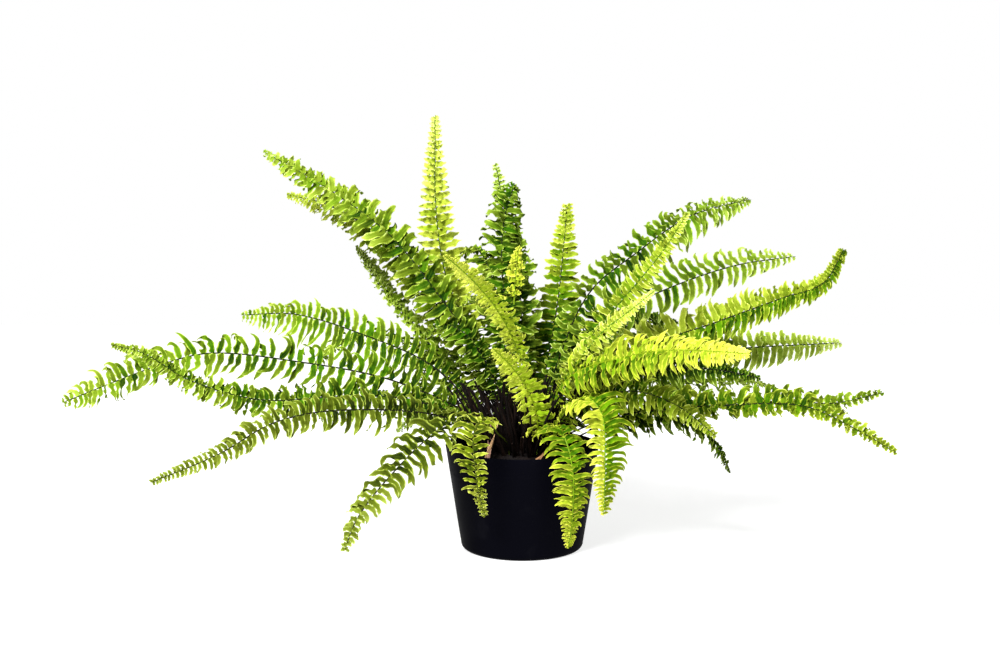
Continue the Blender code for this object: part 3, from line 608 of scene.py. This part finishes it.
fronds = {
    "frond_hanging_front": dict(
        heading=295, root=38, route=((66, 150), (99, 157), (127, 122), (130, 75), (120, 26)),
        tone="light", look="young", leaf=27, halves=(1.15, 1.2), bare=0.2, roll=5, droop=20, pitch=5.8,
        broad=6.4, blunt=0.35, base=-30, curl=30, gravity=0.15, mess=0.9, youth=-0.15, tip=0.55,
        lit=(-0.05, 0.1), green=0.5, shade=-0.2, across=4),
    "frond_hanging_right": dict(
        heading=308, root=37, route=((70, 165), (112, 194), (141, 178), (147, 140), (147, 66)),
        tone="light", look="young", leaf=32, halves=(1.5, 0.85), bare=0.22, sweep=-2, roll=10, taper=3.4,
        pitch=5.8, blunt=0.35, base=-26, sickle=70, curl=30, gravity=0.2, mess=0.9, youth=-0.12, tip=0.5,
        lit=(-0.15, 0.35), green=0.7, across=4),
    "frond_hanging_left": dict(
        heading=247, root=38, route=((75, 150), (112, 172), (140, 160), (138, 130), (128, 95), (108, 60)),
        tone="light", look="mellow", leaf=40, halves=(0.65, 1.15), bare=0.36, droop=15, taper=1.3, pitch=7,
        blunt=0.4, base=-34, curl=30, gravity=0.15, mess=0.9, tip=0.2, green=0.2, shade=0.3, across=4),
    "frond_front_yellow_low": dict(
        heading=290, root=28, route=((58, 150), (70, 195), (76, 230), (78, 250)),
        tone="young", leaf=30, halves=(0.8, 0.75), bare=0.2, sweep=-65, roll=-20, droop=30, taper=4.5,
        pitch=5.2, broad=6.2, blunt=0.3, base=-12, sickle=70, mess=0.8, youth=0.14, tip=0.4, lit=(0, 0.25),
        shade=0.8, across=4),
    "frond_front_yellow_high": dict(
        heading=280, root=14, route=((28, 180), (48, 240), (68, 290), (85, 335), (92, 355)),
        tone="young", leaf=27, halves=(0.8, 0.5), bare=0.42, sweep=-105, roll=-15, droop=34, taper=6,
        pitch=4.8, broad=5.8, blunt=0.3, base=-12, sickle=70, mess=0.7, youth=0.3, tip=0.45, lit=(0, 0.25),
        shade=1, across=4),
    "frond_right_yellow_front": dict(
        heading=318, root=22, route=((40, 170), (74, 212), (139, 238), (215, 255), (315, 261)),
        tone="young", leaf=34, bare=0.2, roll=50, taper=4, pitch=4.8, blunt=0.3, sickle=65, curl=35,
        mess=1.1, youth=-0.05, tip=0.75, lit=(0.12, -0.05), across=4),
    "frond_erect_left": dict(
        heading=142, root=11, route=((40, 180), (78, 250), (114, 310), (130, 390), (131, 504)),
        tone="light", leaf=42, bare=0.36, roll=-62, droop=4, taper=1.2, pitch=8.6, broad=13, blunt=0.2,
        base=0, sickle=22, curl=10, gravity=0.25, ruffle=0.9, mess=0.8, youth=0.2, tip=0.5, across=4),
    "frond_upper_left_long": dict(
        heading=160, root=17, route=((36, 200), (85, 270), (165, 362), (245, 416), (332, 461)),
        tone="green", leaf=36, bare=0.2, roll=-50, droop=14, taper=4, pitch=9, broad=11, blunt=0.7, base=0,
        sickle=55, lean=(0, 28), turn=(1, -0.8), curl=60, youth=-0.02, across=4),
    "frond_left_longest": dict(
        heading=176, root=24,
        route=((50, 150), (98, 176), (168, 201), (259, 217), (366, 227), (433, 211), (550, 165)),
        tone="green", leaf=36, halves=(0.9, 1), bare=0.14, roll=-60, droop=6, taper=14, pitch=10,
        broad=7.6, blunt=0.3, sickle=95, turn=(0.9, 1.1), mess=1.9, youth=-0.08),
    "frond_left_upper": dict(
        heading=158, root=31, route=((65, 165), (117, 210), (200, 240), (296, 262), (376, 258)),
        tone="green", leaf=48, halves=(1.15, 0.85), bare=0.16, roll=-50, droop=16, taper=4, pitch=9,
        broad=7.6, blunt=0.35, base=-28, sickle=110, lean=(0, 34), turn=(1, 0.8), mess=0.7, youth=-0.05,
        tip=0.3),
    "frond_right_curled_tip": dict(
        heading=4, root=16, route=((60, 185), (150, 238), (228, 265), (306, 293), (354, 310), (378, 350)),
        tone="light", leaf=52, halves=(1, 1.1), bare=0.2, roll=55, droop=8, taper=1.3, pitch=6, broad=11,
        blunt=0.3, base=-12, sickle=65, lean=(0, -20), turn=(0.8, -0.7), mess=1.3, youth=0.08, tip=-0.1,
        lit=(0.2, -0.05)),
    "frond_right_high": dict(
        heading=18, root=23, route=((50, 195), (110, 267), (177, 298), (270, 325), (352, 334)),
        tone="dark", leaf=37, halves=(1.15, 1), bare=0.22, roll=52, droop=8, taper=4.5, pitch=10.6,
        broad=8.4, base=-38, sickle=115, lean=(0, 14), turn=(1, -0.5), gravity=0.15, mess=0.8, youth=-0.04,
        tip=0.5, shade=-0.2),
    "frond_upper_right_dark": dict(
        heading=36, root=13, route=((45, 200), (97, 292), (175, 340), (260, 380), (362, 398)),
        tone="dark", leaf=34, halves=(0.8, 1.3), bare=0.2, roll=48, droop=10, taper=5, pitch=8.6, broad=9,
        base=-25, sickle=95, turn=(1, -0.3), mess=1.3, tip=0.3),
    "frond_upper_right_light": dict(
        heading=350, root=7, route=((40, 185), (90, 262), (132, 314), (162, 352), (190, 396)),
        tone="light", leaf=28, bare=0.32, roll=55, droop=8, taper=2, pitch=5.6, broad=6.8, blunt=0.35,
        sickle=45, curl=35, mess=1, youth=0.02, tip=0.45, green=0.4),
    "frond_erect_right": dict(
        heading=70, root=12, route=((50, 155), (98, 215), (134, 280), (156, 345), (170, 395)),
        tone="light", leaf=54, bare=0.24, droop=6, taper=1.2, pitch=7.8, broad=11.5, base=0, sickle=35,
        curl=15, mess=0.9, youth=-0.1, tip=0.5),
    "frond_top_leaning": dict(
        heading=92, root=22, route=((45, 190), (90, 285), (140, 355), (160, 405), (170, 445)),
        tone="dark", leaf=28, bare=0.3, sweep=26, droop=20, taper=3, pitch=7, broad=7.8, blunt=0.25,
        curl=60, mess=2.2, tip=0.6, shade=0.3),
    "frond_top_middle": dict(
        heading=126, root=7, route=((22, 200), (45, 270), (90, 345), (115, 385), (130, 420)),
        tone="dark", halves=(0.8, 1), bare=0.3, sweep=-85, droop=12, taper=16, pitch=8, broad=8.6,
        blunt=0.6, base=0, sickle=40, curl=80, mess=2, tip=0.1, shade=0.3, across=4),
    "frond_top_curled": dict(
        heading=120, root=14, route=((32, 200), (58, 290), (85, 330), (112, 345), (142, 338)),
        tone="green", leaf=36, bare=0.3, droop=24, taper=4, pitch=7, broad=10, curl=90, mess=2, tip=0.15,
        across=4),
    "frond_top_broad": dict(
        heading=88, root=31, route=((50, 200), (90, 290), (125, 345), (135, 370)),
        tone="dark", leaf=28, sweep=14, droop=14, taper=5, pitch=9.5, broad=12, blunt=0.75, base=5,
        sickle=35, curl=50, mess=1.8, tip=0.1, shade=0.3, across=4),
    "frond_top_young": dict(
        heading=108, root=23, route=((36, 200), (50, 280), (62, 325), (66, 350)),
        tone="young", leaf=13, bare=0.76, sweep=-18, droop=14, taper=3, pitch=6.4, broad=8.6, curl=30,
        youth=0.3, shade=0.5),
    "frond_upper_left_under": dict(
        heading=147, root=22, route=((62, 200), (117, 274), (202, 355), (283, 393), (352, 405)),
        tone="light", leaf=30, bare=0.2, roll=-45, droop=16, taper=5, pitch=7, broad=8, sickle=60, curl=45,
        mess=1.6),
    "frond_upper_left_edge": dict(
        heading=140, root=31, route=((80, 165), (145, 227), (210, 282), (270, 340)),
        tone="green", leaf=30, halves=(0.4, 1), bare=0.2, roll=-2, droop=16, taper=10, pitch=8, broad=11.5,
        curl=45, mess=1, youth=0.16, shade=1.1),
    "frond_right_young": dict(
        heading=335, root=14, route=((45, 190), (97, 258), (133, 287), (163, 312)),
        tone="light", leaf=20, bare=0.36, roll=55, droop=15, taper=2.4, pitch=4.8, broad=5.8, youth=0.22,
        tip=0.5, green=0.6),
    "frond_right_level": dict(
        heading=14, root=33, route=((60, 170), (95, 205), (195, 222), (275, 227), (404, 229)),
        tone="green", halves=(1, 1.1), bare=0.18, roll=50, droop=12, taper=4, pitch=9, broad=9.6,
        blunt=0.35, base=-12, sickle=55, lean=(0, -14), turn=(0.8, -0.8), mess=0.7, tip=0.6),
    "frond_right_dark_under": dict(
        heading=4, root=30, route=((60, 160), (93, 193), (165, 209), (225, 209), (282, 198)),
        tone="dark", leaf=36, bare=0.18, roll=42, droop=26, taper=3, pitch=5.6, broad=8, mess=1.4,
        youth=-0.15, tip=0, shade=-0.5),
    "frond_lower_right_far": dict(
        heading=352, root=38,
        route=((62, 140), (115, 158), (218, 172), (305, 182), (356, 180), (414, 194)),
        tone="green", halves=(0.9, 0.6), bare=0.16, roll=50, droop=12, taper=3, pitch=9.5, broad=10,
        mess=2.4, youth=-0.12),
    "frond_lower_right_near": dict(
        heading=342, root=32,
        route=((70, 150), (141, 169), (246, 183), (328, 186), (388, 162), (430, 139)),
        tone="light", halves=(0.9, 0.55), bare=0.16, roll=48, droop=14, pitch=8, broad=10, mess=2.2,
        youth=-0.1, shade=-0.2),
    "frond_lower_right_arched": dict(
        heading=359, root=43, route=((62, 130), (91, 143), (149, 158), (193, 151), (226, 126), (244, 90)),
        tone="dark", leaf=30, bare=0.2, roll=20, droop=26, taper=3, pitch=5, broad=7, youth=-0.12, tip=0.1,
        shade=-0.7),
    "frond_lower_right_light": dict(
        heading=330, root=32, route=((50, 160), (100, 187), (148, 198), (200, 185), (245, 156)),
        tone="light", leaf=32, bare=0.18, roll=40, droop=14, taper=2.4, pitch=7, broad=7.4, mess=1.4,
        youth=-0.06, shade=-0.2),
    "frond_left_twisted": dict(
        heading=186, root=32,
        route=((55, 148), (95, 167), (145, 181), (213, 183), (303, 181), (383, 205), (434, 237), (470, 247)),
        tone="olive", look="green", leaf=36, bare=0.14, roll=-45, twist=-15, droop=20, taper=2.2,
        pitch=5.4, broad=8, curl=110, mess=2, youth=-0.05, tip=0.3, shade=-0.3),
    "frond_lower_left_long": dict(
        heading=199, root=38,
        route=((70, 150), (125, 168), (227, 176), (295, 166), (356, 135), (432, 108)),
        tone="olive", leaf=32, bare=0.16, roll=-54, droop=6, taper=2, pitch=7, broad=7.4, mess=1.1),
    "frond_lower_left_front": dict(
        heading=222, root=36, route=((55, 150), (88, 162), (136, 152), (193, 117), (242, 75), (261, 40)),
        tone="olive", leaf=42, bare=0.18, roll=-12, droop=6, taper=2.4, pitch=8.6, broad=9.4, mess=1.3,
        youth=-0.05, tip=0.4),
    "frond_inner_left": dict(
        heading=168, root=5, route=((30, 190), (62, 245), (92, 262), (116, 250)),
        tone="dark", leaf=36, roll=-30, droop=20, taper=3, pitch=6, broad=8, mess=1.8, youth=-0.12, tip=0,
        shade=-0.3),
    "frond_inner_right": dict(
        heading=28, root=32, route=((62, 190), (112, 240), (170, 262), (216, 255)),
        tone="dark", leaf=36, bare=0.24, roll=35, droop=20, taper=3, pitch=6, broad=8, mess=1.6,
        youth=-0.15, tip=0, shade=-0.4),
    "frond_low_right": dict(
        heading=40, root=19, route=((45, 140), (85, 158), (130, 150), (170, 122)),
        tone="dark", leaf=34, bare=0.22, roll=35, droop=16, pitch=6),
    "frond_low_back": dict(
        heading=66, root=22, route=((48, 138), (84, 152), (124, 142), (158, 112)),
        tone="dark", leaf=34, bare=0.22, roll=10, droop=16, pitch=6),
    "frond_low_left": dict(
        heading=150, root=35, route=((52, 140), (92, 160), (136, 152), (176, 122)),
        tone="dark", leaf=32, bare=0.24, roll=-35, droop=16, pitch=6),
    "frond_back_1": dict(
        heading=132, root=40, route=((80, 150), (160, 205), (265, 228), (350, 205), (395, 160)),
        tone="green", bare=0.2, sweep=20),
    "frond_back_2": dict(
        heading=118, root=34, route=((75, 155), (150, 195), (230, 200), (300, 160), (335, 105)),
        tone="dark", bare=0.2, sweep=-25),
    "frond_back_3": dict(
        heading=103, root=31, route=((70, 170), (140, 235), (235, 268), (310, 255), (365, 215)),
        tone="green", bare=0.2, sweep=15),
    "frond_back_4": dict(
        heading=90, root=38, route=((70, 145), (140, 175), (220, 175), (285, 135), (310, 80)),
        tone="olive", bare=0.2, sweep=-15),
    "frond_back_5": dict(
        heading=76, root=41, route=((80, 160), (160, 215), (250, 235), (325, 210), (370, 160)),
        tone="green", bare=0.2, sweep=25),
    "frond_back_6": dict(
        heading=60, root=31, route=((75, 165), (155, 225), (250, 250), (330, 235), (390, 190)),
        tone="light", bare=0.2, sweep=-20),
    "frond_back_7": dict(
        heading=46, root=38, route=((75, 145), (150, 180), (235, 185), (305, 150), (345, 95)),
        tone="dark", bare=0.2, sweep=20),
    "frond_back_8": dict(
        heading=30, root=42, route=((80, 140), (160, 165), (250, 178), (330, 172), (380, 155)),
        tone="green", bare=0.2, sweep=-15),
}

# A stalk stands with a gap on the floor of its hole and leaves the crown upright, a little above its top.
# leaflets holds what all of them share, and spread how far each may stray from its frond's form.
stalk = dict(root=2.2, tip=1.3, holeFloor=soil["top"] + 2.5, gap=0.3, above=2, step=9, fewest=8, end=0.35,
             sides=6)
leaflets = dict(steps=13, thick=0.34, routeSteps=12, reach=3, first=dict(left=0.15, right=0.5), jitter=0.12,
                tipSweep=16, crowding=1.4, tuck=0.3, lobes=2.7, lobeDepth=0.09, ear=1.25, earLong=0.2,
                waveLag=0.18, raised=6, shadeSpread=0.6, footShade=0.8, youthSpread=0.07)
spread = dict(length=(0.9, 1.08), broad=(0.88, 1.1), sweep=5, sickle=(0.5, 1.5), sickleTurn=12, droop=8,
              curl=20, spin=30, wriggle=(2, 10), hook=(10, 55), waves=(1.6, 2.8), gravity=(0.4, 1.5),
              wild=0.1, wildLift=25, wildCurl=60)


def measured(points):    # the distance from the first point to each one
    distances = [0]
    for start, end in zip(points, points[1:]):
        distances.append(distances[-1] + (end - start).length)
    return distances


class Route:    # a midrib's smooth line, read by the distance along it
    def __init__(self, frond):
        ahead = levelWay(math.radians(frond["heading"]))
        self.aside = upright.cross(ahead)
        flat = [(frond["root"], crownTop(frond["root"]) + stalk["above"]), *frond["route"]]
        points = [(ahead * reach + upright * height) * mm for reach, height in flat]
        tangents = [upright, *[(after - before).normalized() for before, after in zip(points, points[2:])],
                    (points[-1] - points[-2]).normalized()]
        curve = [(ahead * frond["root"] + upright * (stalk["holeFloor"] + stalk["gap"])) * mm]
        for i, (start, end) in enumerate(zip(points, points[1:])):
            pull = (end - start).length / 3
            curve += interpolate_bezier(start, start + tangents[i] * pull, end - tangents[i + 1] * pull, end,
                                        leaflets["routeSteps"])[:-1]
        curve.append(points[-1])
        distances = measured(curve)
        for point, distance in zip(curve, distances):
            point += self.aside * frond["sweep"] * mm * (distance / distances[-1]) ** 3
        self.curve = curve
        self.distances = measured(curve)
        self.length = self.distances[-1]

    def point(self, distance):
        i = min(len(self.curve) - 2, max(0, bisect(self.distances, distance) - 1))
        span = self.distances[i + 1] - self.distances[i]
        return self.curve[i].lerp(self.curve[i + 1], (distance - self.distances[i]) / span)

    def tangent(self, distance):
        reach = leaflets["reach"] * mm
        behind = self.point(max(0, distance - reach))
        return (self.point(min(self.length, distance + reach)) - behind).normalized()


def station(frond, route, distance):    # centre, ahead, left, up, the share along the blade, and the width
    share = distance / route.length
    ahead = route.tangent(distance)
    alongBlade = max(0, (share - frond["bare"]) / (1 - frond["bare"]))
    turn = min(1, share / frond["bare"]) * frond["roll"] + alongBlade * frond["twist"]
    left = (route.aside - ahead * route.aside.dot(ahead)).normalized()
    left = Matrix.Rotation(math.radians(turn), 3, ahead) @ left
    width = (stalk["root"] + (stalk["tip"] - stalk["root"]) * share) * mm
    return dict(centre=route.point(distance), ahead=ahead, left=left, up=ahead.cross(left),
                share=alongBlade, width=width)


def leafShare(share, taper):    # a leaflet's length as a share of the frond's longest
    return min(1, 0.6 + 1.6 * share) * (1 - 0.88 * share ** taper)


def outlineAt(u, blunt):    # half width of a leaflet along its length, as a share of its broadest
    return (0.55 + 0.45 * min(1, u / 0.1)) * (1 - 0.3 * u) * (1 - max(0, (u - blunt) / (1.02 - blunt)) ** 3)


def leafletForm(frond, side, share, draw):    # side is 1 at the left and -1 at the right
    mess = frond["mess"] * (1.3 - 0.6 * share)
    size = leafShare(share, frond["taper"])
    half = int(side < 0)
    wild = draw.random() < spread["wild"] * mess
    return dict(
        length=frond["leaf"] * frond["halves"][half] * size * mm * draw.uniform(*spread["length"]),
        broad=frond["broad"] * (0.45 + 0.55 * size) * draw.uniform(*spread["broad"]) * mm,
        sweep=(frond["base"] + frond["lean"][half] + leaflets["tipSweep"] * share
               + draw.gauss(0, spread["sweep"] * mess)),
        sickle=(frond["sickle"] * frond["turn"][half] * draw.uniform(*spread["sickle"])
                + draw.gauss(0, spread["sickleTurn"] * mess)),
        droop=(frond["droop"] / 2 - leaflets["raised"] + draw.gauss(0, spread["droop"] * mess)
               - spread["wildLift"] * wild),
        curl=frond["curl"] + draw.gauss(0, spread["curl"] * mess) + spread["wildCurl"] * wild,
        spin=draw.gauss(0, spread["spin"] * mess),
        wriggle=draw.uniform(*spread["wriggle"]) * mess,
        hook=draw.gauss(*spread["hook"]) * min(1.2, mess),
        waves=draw.uniform(*spread["waves"]),
        phase=draw.random(),
        gravity=frond["gravity"] * draw.uniform(*spread["gravity"]),
        **{kept: frond[kept] for kept in ("blunt", "ruffle", "fold", "across")})


def leafletSpine(at, side, form):    # (point, across, normal) at each step along a leaflet
    out = at["left"] * side
    steps = leaflets["steps"]
    spine = []
    point = at["centre"] + out * at["width"] * leaflets["tuck"]
    for step in range(steps + 1):
        u = step / steps
        sweep = math.radians(form["sweep"] + form["sickle"] * u * u
                             + form["wriggle"] * math.sin(math.tau * (0.8 * u + form["phase"])))
        droop = math.radians(form["droop"] + form["curl"] * u * u + form["hook"] * u ** 4)
        level = out * math.cos(sweep) + at["ahead"] * math.sin(sweep)
        way = level * math.cos(droop) - at["up"] * math.sin(droop)
        way = (way - upright * form["gravity"] * u ** 1.6).normalized()
        across = (out * math.sin(sweep) - at["ahead"] * math.cos(sweep)) * side
        across = (across - way * across.dot(way)).normalized()
        across = Matrix.Rotation(math.radians(form["spin"]) * u * side, 3, way) @ across
        spine.append((point.copy(), across, way.cross(across)))
        point += way * form["length"] / steps
    return spine


def growLeaflet(bm, layers, at, side, form, tint):
    steps = leaflets["steps"]
    spine = leafletSpine(at, side, form)
    made = bmesh.ops.create_grid(bm, x_segments=steps, y_segments=form["across"], size=1, calc_uvs=True)
    for vert in made["verts"]:
        u = (vert.co.x + 1) / 2
        v = vert.co.y
        centre, across, normal = spine[round(u * steps)]
        lobe = leaflets["lobeDepth"] * math.sin(math.tau * (leaflets["lobes"] * u + form["phase"] + v / 3))
        half = form["broad"] / 2 * outlineAt(u, form["blunt"]) * (1 + lobe)
        if v * side < 0 and u < leaflets["earLong"]:
            half *= leaflets["ear"]    # on the side towards the frond's tip
        wave = math.sin(math.tau * (form["waves"] * u + form["phase"] + leaflets["waveLag"] * v))
        lift = (form["fold"] * abs(v) + form["ruffle"] * wave * v * v) * half
        vert.co = centre + across * half * v + normal * lift
        for layer, value in tint.items():
            vert[layers[layer]] = value


def growStalk(bm, layers, frond, route):    # the stalk and midrib, a tube that tapers to the tip
    leafFaces = len(bm.faces)
    rings = max(stalk["fewest"], round(route.length / (stalk["step"] * mm)))
    stations = [station(frond, route, route.length * ring / rings) for ring in range(rings + 1)]
    shrinks = [1] * rings + [stalk["end"]]
    tube(bm, [frameAt(at["centre"], at["left"], at["ahead"], at["width"] / 2 * shrink)
              for at, shrink in zip(stations, shrinks)], stalk["sides"], 2)
    bm.faces.ensure_lookup_table()
    tipYouth = 0.1 + frond["youth"] + 0.5 * frond["tip"]
    for face in bm.faces[leafFaces:]:
        for vert in face.verts:
            share = min(1, (vert.co - route.curve[0]).length / route.length)
            vert[layers["youth"]] = frond["green"] + tipYouth * share ** 1.5


def makeFrond(name, frond):
    frond = {**frondDefaults, **frond}
    draw = random.Random(name)
    route = Route(frond)
    bladeAt = frond["bare"] * route.length
    bladeLong = route.length - bladeAt
    materials = leafMaterials[frond["look"] or frond["tone"]]
    bm = bmesh.new()
    bm.loops.layers.uv.new("leaflet")
    layers = {layer: bm.verts.layers.float.new(layer) for layer in ("shade", "youth")}
    pairs = round(bladeLong / (frond["pitch"] * mm))
    for pair in range(pairs):
        for side, start in ((1, leaflets["first"]["left"]), (-1, leaflets["first"]["right"])):
            jitter = draw.uniform(-leaflets["jitter"], leaflets["jitter"])
            share = min(1, (pair + start + jitter) / pairs)
            crowded = share * (leaflets["crowding"] - (leaflets["crowding"] - 1) * share)
            at = station(frond, route, bladeAt + bladeLong * crowded)
            # lit adds youth on one side as painted light; shade is painted light and shade per frond, spread
            # at random over leaflets, with painted shade on leaflets near the crown
            youth = frond["youth"] + frond["tip"] * at["share"] ** 2 + frond["lit"][side < 0]
            tint = dict(shade=(frond["shade"] + draw.gauss(0, leaflets["shadeSpread"])
                               - leaflets["footShade"] * (1 - at["share"]) ** 3),
                        youth=max(0, min(1, youth + draw.gauss(0, leaflets["youthSpread"]))))
            growLeaflet(bm, layers, at, side, leafletForm(frond, side, at["share"], draw), tint)
    bm = thickened(bm, name + "_leaflets", materials, leaflets["thick"] * mm)
    layers = {layer: bm.verts.layers.float[layer] for layer in ("shade", "youth")}
    growStalk(bm, layers, frond, route)
    finished(name + "_leaf", bm, materials, [name])


for name, frond in fronds.items():
    makeFrond(name, frond)
print("fronds made:", len(fronds))
